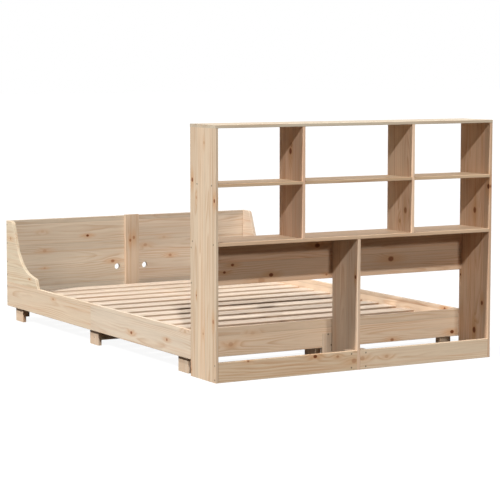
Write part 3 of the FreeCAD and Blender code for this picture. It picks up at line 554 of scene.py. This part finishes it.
# Painted shade: from the rounding of the top edge down, each slat's sides are multiplied by a warm
# tint, so they come out a little browner and darker than its top, like the shade between the slats.
side_shade_starts, side_shade_full = last_high.z - 0.0005, last_high.z - 0.0025
tree = slat_wood.node_tree
surface = tree.nodes["Principled BSDF"]
unshaded_slat_colour = surface.inputs["Base Color"].links[0].from_socket
where = add_node(tree, "ShaderNodeTexCoord").outputs["Object"]
height = add_node(tree, "ShaderNodeSeparateXYZ", None, {0: where}).outputs["Z"]
side_shade_share = add_node(tree, "ShaderNodeMapRange", None,
                {"Value": height, "From Min": side_shade_starts, "From Max": side_shade_full}).outputs[0]
# Painted shade on the slats' sides: their colour times a warm tint, none on the top and full 2.5 mm
# down.
side_shaded_colour = add_node(tree, "ShaderNodeMix", {"data_type": "RGBA", "blend_type": "MULTIPLY"},
                   {share_of_b: side_shade_share, colour_a: unshaded_slat_colour, colour_b: linear("#FFF2E6")}).outputs[mixed]
tree.links.new(side_shaded_colour, surface.inputs["Base Color"])
slats = grow("slats", slat_row, bpy.data.meshes.new("slats_start"), {
    "Length": slat_size.x, "Width": slat_size.y, "Thickness": slat_size.z,
    "Edge round": slat_edge_round, "Count": len(slat_names), "Pitch": slat_pitch,
    "First": (first_low + first_high) / 2, "Screw spacing": slat_size.x - 2 * slat_screw_inset,
    "Hole diameter": screw_shank_diameter, "Countersink": screw_head_height, "Wood": slat_wood})
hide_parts(*slat_names)

# Screws: countersunk wood screws of zinc-plated steel with a cross recess, driven flush. The
# short ones hold the slats, legs and strip, and the long ones everything else.
screw_head_diameter = 0.008
recess_length, recess_width, recess_height = 0.0042, 0.0009, 0.0032
tip_height, tip_radius = 0.006, 0.0002
head_sides, shank_sides = 20, 10
# Passivated zinc: grey with a faint yellow cast, dull, and mottled where the coating took
# unevenly, in patches about 1.5 mm across.
mottle_per_metre = 700.0
steel = bpy.data.materials.new("zinc_plated_steel")
steel.use_nodes = True
tree = steel.node_tree
tree.nodes.clear()
where = add_node(tree, "ShaderNodeTexCoord").outputs["Object"]
bloom = add_node(tree, "ShaderNodeTexNoise", None,
                 {"Vector": where, "Scale": mottle_per_metre, "Detail": 2.0}).outputs["Fac"]
tint = add_node(tree, "ShaderNodeMix", {"data_type": "RGBA"},
                {share_of_b: bloom, colour_a: linear("#8C7E68"),
                 colour_b: linear("#6F6555")}).outputs[mixed]
dull = add_node(tree, "ShaderNodeMapRange", None,
                {"Value": bloom, "To Min": 0.28, "To Max": 0.45}).outputs[0]
surface = add_node(tree, "ShaderNodeBsdfPrincipled", None,
                   {"Base Color": tint, "Roughness": dull, "Metallic": 1.0})
add_node(tree, "ShaderNodeOutputMaterial", None, {"Surface": surface.outputs[0]})

screw_set, given, result = new_group("screw_set", "GeometryNodeTree", [
    ("Geometry", "NodeSocketGeometry", None), ("Head diameter", "NodeSocketFloat", None),
    ("Head height", "NodeSocketFloat", None), ("Shank diameter", "NodeSocketFloat", None),
    ("Length", "NodeSocketFloat", None), ("Seed", "NodeSocketInt", None),
    ("Steel", "NodeSocketMaterial", None)], [("Geometry", "NodeSocketGeometry")])
radii = {}
for label in ("Head diameter", "Shank diameter"):
    radii[label] = add_node(screw_set, "ShaderNodeMath", {"operation": "MULTIPLY"},
                            {0: given.outputs[label], 1: 0.5}).outputs[0]
head = add_node(screw_set, "GeometryNodeMeshCone", None,
                {"Vertices": head_sides, "Radius Top": radii["Shank diameter"],
                 "Radius Bottom": radii["Head diameter"],
                 "Depth": given.outputs["Head height"]}).outputs[0]
recess = add_node(screw_set, "GeometryNodeMeshCube", None,
                  {"Size": (recess_length, recess_width, recess_height)}).outputs[0]
recess_across = add_node(screw_set, "GeometryNodeTransform", None,
                         {"Geometry": recess, "Rotation": (0, 0, math.radians(90))}).outputs[0]
recessed = add_node(screw_set, "GeometryNodeMeshBoolean",
                    {"operation": "DIFFERENCE", "solver": "EXACT"}, {"Mesh 1": head})
for cutter in (recess, recess_across):
    screw_set.links.new(cutter, recessed.inputs["Mesh 2"])
shank_end = add_node(screw_set, "ShaderNodeMath", {"operation": "SUBTRACT"},
                     {0: given.outputs["Length"], 1: tip_height}).outputs[0]
shank_length = add_node(screw_set, "ShaderNodeMath", {"operation": "SUBTRACT"},
                        {0: shank_end, 1: given.outputs["Head height"]}).outputs[0]
shank_middle = add_node(screw_set, "ShaderNodeMath", {"operation": "MULTIPLY_ADD"},
                        {0: shank_length, 1: 0.5, 2: given.outputs["Head height"]}).outputs[0]
shank_place = add_node(screw_set, "ShaderNodeCombineXYZ", None, {"Z": shank_middle}).outputs[0]
shank = add_node(screw_set, "GeometryNodeMeshCylinder", None,
                 {"Vertices": shank_sides, "Radius": radii["Shank diameter"],
                  "Depth": shank_length}).outputs[0]
shank = add_node(screw_set, "GeometryNodeTransform", None,
                 {"Geometry": shank, "Translation": shank_place}).outputs[0]
tip_place = add_node(screw_set, "ShaderNodeCombineXYZ", None, {"Z": shank_end}).outputs[0]
tip = add_node(screw_set, "GeometryNodeMeshCone", None,
               {"Vertices": shank_sides, "Radius Top": tip_radius,
                "Radius Bottom": radii["Shank diameter"], "Depth": tip_height}).outputs[0]
tip = add_node(screw_set, "GeometryNodeTransform", None,
               {"Geometry": tip, "Translation": tip_place}).outputs[0]
whole = add_node(screw_set, "GeometryNodeJoinGeometry")
for part in (recessed.outputs[0], shank, tip):
    screw_set.links.new(part, whole.inputs[0])
# Each screw points along the direction stored with its place, its cross turned at random.
towards = add_node(screw_set, "GeometryNodeInputNamedAttribute", {"data_type": "FLOAT_VECTOR"},
                   {"Name": "towards"}).outputs[0]
aim = add_node(screw_set, "FunctionNodeAlignRotationToVector", {"axis": "Z"},
               {"Vector": towards}).outputs[0]
spin = add_node(screw_set, "FunctionNodeRandomValue", {"data_type": "FLOAT"},
                {"Min": 0.0, "Max": math.pi, "Seed": given.outputs["Seed"]})
spin = [socket for socket in spin.outputs if socket.enabled][0]
turn = add_node(screw_set, "ShaderNodeCombineXYZ", None, {"Z": spin}).outputs[0]
turn = add_node(screw_set, "FunctionNodeEulerToRotation", None, {0: turn}).outputs[0]
aim = add_node(screw_set, "FunctionNodeRotateRotation", {"rotation_space": "LOCAL"},
               {"Rotation": aim, "Rotate By": turn}).outputs[0]
driven = add_node(screw_set, "GeometryNodeInstanceOnPoints", None,
                  {"Points": given.outputs["Geometry"], "Instance": whole.outputs[0],
                   "Rotation": aim}).outputs[0]
driven = add_node(screw_set, "GeometryNodeRealizeInstances", None, {0: driven}).outputs[0]
driven = add_node(screw_set, "GeometryNodeSetMaterial", None,
                  {"Geometry": driven, "Material": given.outputs["Steel"]}).outputs[0]
screw_set.links.new(driven, result.inputs[0])


def screw_places(name):
    """Head centre, direction and length of each screw in a node of the frame, from its solids."""
    same_point, same_plane = 1e-5, 1e-4
    copy = bmesh.new()
    copy.from_mesh(nodes[name].data)
    bmesh.ops.remove_doubles(copy, verts=copy.verts, dist=same_point)
    found, seen = [], set()
    for vert in copy.verts:
        if vert in seen:
            continue
        island, queue = [], [vert]
        seen.add(vert)
        while queue:
            here = queue.pop()
            island.append(here.co.copy())
            for edge in here.link_edges:
                other = edge.other_vert(here)
                if other not in seen:
                    seen.add(other)
                    queue.append(other)
        low = Vector([min(co[axis] for co in island) for axis in range(3)])
        high = Vector([max(co[axis] for co in island) for axis in range(3)])
        size, middle = high - low, (low + high) / 2
        axis = max(range(3), key=lambda n: size[n])
        # The head is at the end whose ring of points is wider.
        reach = {}
        for end in (low, high):
            ring = [co for co in island if abs(co[axis] - end[axis]) < same_plane]
            reach[end[axis]] = max(sum((co[n] - middle[n]) ** 2 for n in range(3) if n != axis)
                                   for co in ring)
        start = max(reach, key=reach.get)
        head_centre, way = middle.copy(), Vector((0, 0, 0))
        head_centre[axis] = start
        way[axis] = 1 if start == low[axis] else -1
        found.append((head_centre, way, size[axis]))
    copy.free()
    return found


for name, seed in (("long_screws", 11), ("short_screws", 12)):
    found = screw_places(name)
    start = bpy.data.meshes.new(name + "_start")
    start.from_pydata([head_centre for head_centre, _, _ in found], [], [])
    ways = start.attributes.new("towards", "FLOAT_VECTOR", "POINT")
    for item, (_, way, _) in zip(ways.data, found):
        item.vector = way
    _, _, screw_length = found[0]
    screws = grow("wood_" + name, screw_set, start, {
        "Head diameter": screw_head_diameter, "Head height": screw_head_height,
        "Shank diameter": screw_shank_diameter, "Length": screw_length, "Seed": seed, "Steel": steel})
    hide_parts(name)

# Dowels: turned beech pins 8 mm thick and 60 mm long, glued across a joint into the boards on
# either side of it, so none of them shows.
# Beech: an even pinkish tan with short dark flecks under 2 mm long, dry and unfinished.
flecks_per_metre = 600.0
beech = bpy.data.materials.new("beech_dowels")
beech.use_nodes = True
tree = beech.node_tree
tree.nodes.clear()
where = add_node(tree, "ShaderNodeTexCoord").outputs["Object"]
flecks = add_node(tree, "ShaderNodeTexNoise", None,
                  {"Vector": where, "Scale": flecks_per_metre, "Detail": 3.0}).outputs["Fac"]
tint = add_node(tree, "ShaderNodeMix", {"data_type": "RGBA"},
                {share_of_b: flecks, colour_a: linear("#DDB68D"),
                 colour_b: linear("#B98A62")}).outputs[mixed]
surface = add_node(tree, "ShaderNodeBsdfPrincipled", None,
                   {"Base Color": tint, "Roughness": 0.7, "Specular IOR Level": 0.3})
add_node(tree, "ShaderNodeOutputMaterial", None, {"Surface": surface.outputs[0]})
nodes["dowels"].data.materials.clear()
nodes["dowels"].data.materials.append(beech)

# Floor, background and light: a pale floor that runs out to a white world. Three small lamps
# throw the photograph's crisp shadows into the shelves, and a broad one fills from behind.
floor_reach = 60
corners = [(-floor_reach, -floor_reach, 0), (floor_reach, -floor_reach, 0),
           (floor_reach, floor_reach, 0), (-floor_reach, floor_reach, 0)]
floor_mesh = bpy.data.meshes.new("studio_floor")
floor_mesh.from_pydata(corners, [], [(0, 1, 2, 3)])
floor = bpy.data.objects.new("studio_floor", floor_mesh)
bpy.context.scene.collection.objects.link(floor)


def seen_directly(tree):
    """1 for rays from the camera, reflections and glass, 0 for the light that the wood receives."""
    rays = add_node(tree, "ShaderNodeLightPath").outputs
    either = add_node(tree, "ShaderNodeMath", {"operation": "MAXIMUM"},
                      {0: rays["Is Camera Ray"], 1: rays["Is Glossy Ray"]}).outputs[0]
    return add_node(tree, "ShaderNodeMath", {"operation": "MAXIMUM"},
                    {0: either, 1: rays["Is Transmission Ray"]}).outputs[0]


# Seen by the camera or in a reflection, the floor is white, and keeps the shadow on it. What it
# throws back on the wood is a little warm, as in a room with a wooden floor.
floor_glow = 0.93
pale = bpy.data.materials.new("pale_floor")
pale.use_nodes = True
tree = pale.node_tree
tree.nodes.clear()
seen = seen_directly(tree)
floor_colour = add_node(tree, "ShaderNodeMix", {"data_type": "RGBA"},
                        {share_of_b: seen, colour_a: linear("#5D554D"),
                         colour_b: linear("#5A5A5A")}).outputs[mixed]
paint = add_node(tree, "ShaderNodeBsdfDiffuse", None, {"Color": floor_colour}).outputs[0]
glow_level = add_node(tree, "ShaderNodeMath", {"operation": "MULTIPLY"},
                      {0: seen, 1: floor_glow}).outputs[0]
glow = add_node(tree, "ShaderNodeEmission", None, {"Strength": glow_level}).outputs[0]
surface = add_node(tree, "ShaderNodeAddShader", None, {0: paint, 1: glow})
add_node(tree, "ShaderNodeOutputMaterial", None, {"Surface": surface.outputs[0]})
floor_mesh.materials.append(pale)

# The world is white to the eye, and gives the wood no light.
world = bpy.data.worlds.new("white_studio")
bpy.context.scene.world = world
world.use_nodes = True
tree = world.node_tree
tree.nodes.clear()
sky = add_node(tree, "ShaderNodeBackground", None,
               {"Color": (1, 1, 1, 1), "Strength": seen_directly(tree)})
add_node(tree, "ShaderNodeOutputWorld", None, {"Surface": sky.outputs[0]})

# Each lamp: how far to the left of straight in front of the bookcase it stands, its height above
# the horizon, its width in the sky, all in degrees, and its strength.
for name, left, above, width, strength in (("front_lamp", 24, 37.2, 2.0, 2.0),
                                           ("low_front_lamp", -5, 17, 4.5, 0.80),
                                           ("left_lamp", 88.2, 45, 2.5, 3.55),
                                           ("back_lamp", 175, 45, 25, 1.08)):
    lamp = bpy.data.lights.new(name, "SUN")
    lamp.energy = strength
    lamp.angle = math.radians(width)
    hung = bpy.data.objects.new(name, lamp)
    side, up = math.radians(left), math.radians(above)
    way = Vector((-math.sin(side) * math.cos(up), -math.cos(side) * math.cos(up), math.sin(up)))
    hung.rotation_euler = way.to_track_quat("Z", "Y").to_euler()
    bpy.context.scene.collection.objects.link(hung)
bpy.context.scene.view_settings.view_transform = "Standard"
